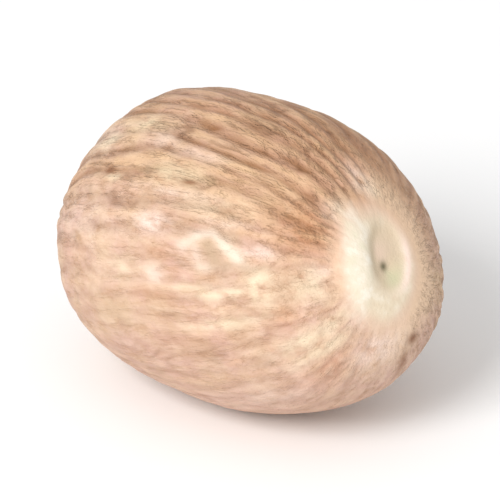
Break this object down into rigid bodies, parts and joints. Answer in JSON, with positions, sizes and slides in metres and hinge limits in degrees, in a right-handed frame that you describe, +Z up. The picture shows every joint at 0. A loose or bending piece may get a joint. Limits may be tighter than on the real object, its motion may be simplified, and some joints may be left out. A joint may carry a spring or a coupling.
{
  "type": "whole nutmeg",
  "caption": "Whole shelled nutmeg lying on its side: an uneven brown ovoid seed with wavy furrows and a pale oval scar at one end.",
  "frame": {"origin": "on the surface the nutmeg rests on, under the middle of its bounding box", "axes": "+X along the seed towards the end with the pale scar, +Z up, +Y across it"},
  "size_m": [0.026, 0.0192, 0.0183],
  "materials": {
    "seed_skin": "dry, matt brown seed skin with paler ridges, darker furrows and a cream scar at one end"
  },
  "bodies": {
    "root": {"nutmeg": "seed_skin"}
  },
  "joints": []
}
